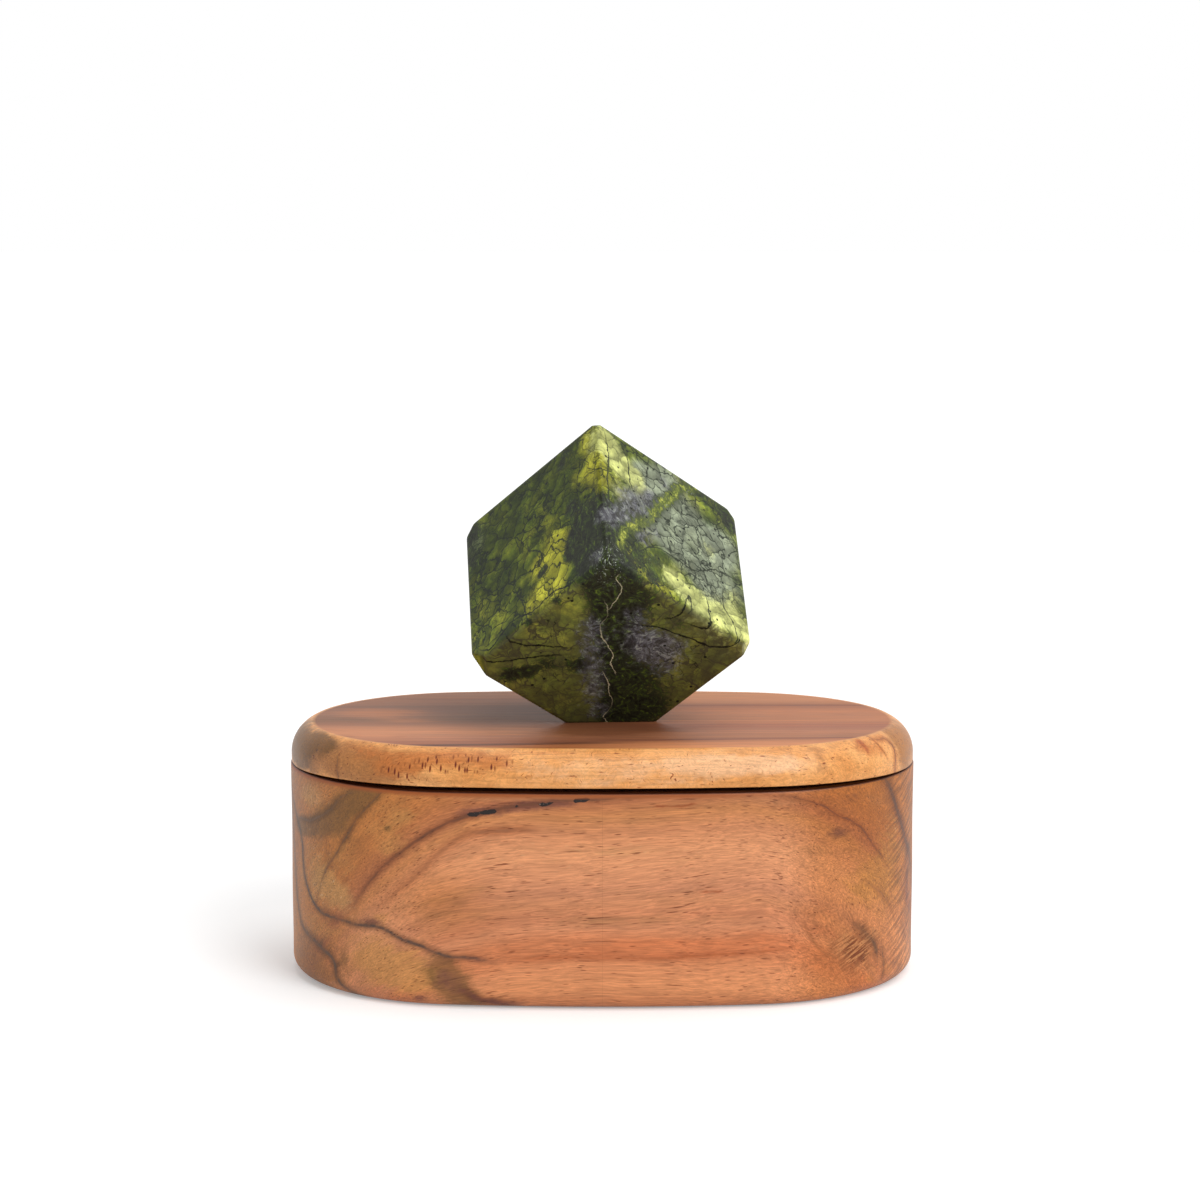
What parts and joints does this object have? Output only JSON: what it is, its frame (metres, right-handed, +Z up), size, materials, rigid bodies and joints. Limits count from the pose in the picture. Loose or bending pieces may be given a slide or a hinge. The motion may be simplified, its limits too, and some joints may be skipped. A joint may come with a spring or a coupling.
{
  "type": "oval jewelry box",
  "caption": "Oval carved wooden jewelry box with a lift-off lid, felt-lined cavity and a polished stone cube standing on one corner as the lid's handle.",
  "frame": {"origin": "centre of the felt under the box, on the surface that the box stands on", "axes": "+Z up, +X along the box's width, front towards -Y"},
  "size_m": [0.18, 0.1094, 0.1575],
  "materials": {
    "body_wood": "oiled and waxed, satin",
    "lid_wood": "oiled and waxed, satin",
    "plug_wood": "sanded, oiled",
    "stone": "polished green serpentine",
    "felt": "dyed wool felt",
    "base_felt": "dark wool felt",
    "steel": "zinc-plated"
  },
  "bodies": {
    "box": {"box_body": "body_wood", "base_pad": "base_felt", "floor_lining": "felt", "wall_lining": "felt"},
    "lid": {"lid": "lid_wood", "lid_plug": "plug_wood", "lid_lining": "felt", "stone_cube": "stone", "stone_stud": "steel", "stud_washer": "steel", "stud_nut": "steel"}
  },
  "joints": [
    {"name": "lid_lift", "type": "slide", "parent": "box", "child": "lid", "axis": [0, 0, 1], "range_m": [0, 0.1]}
  ]
}
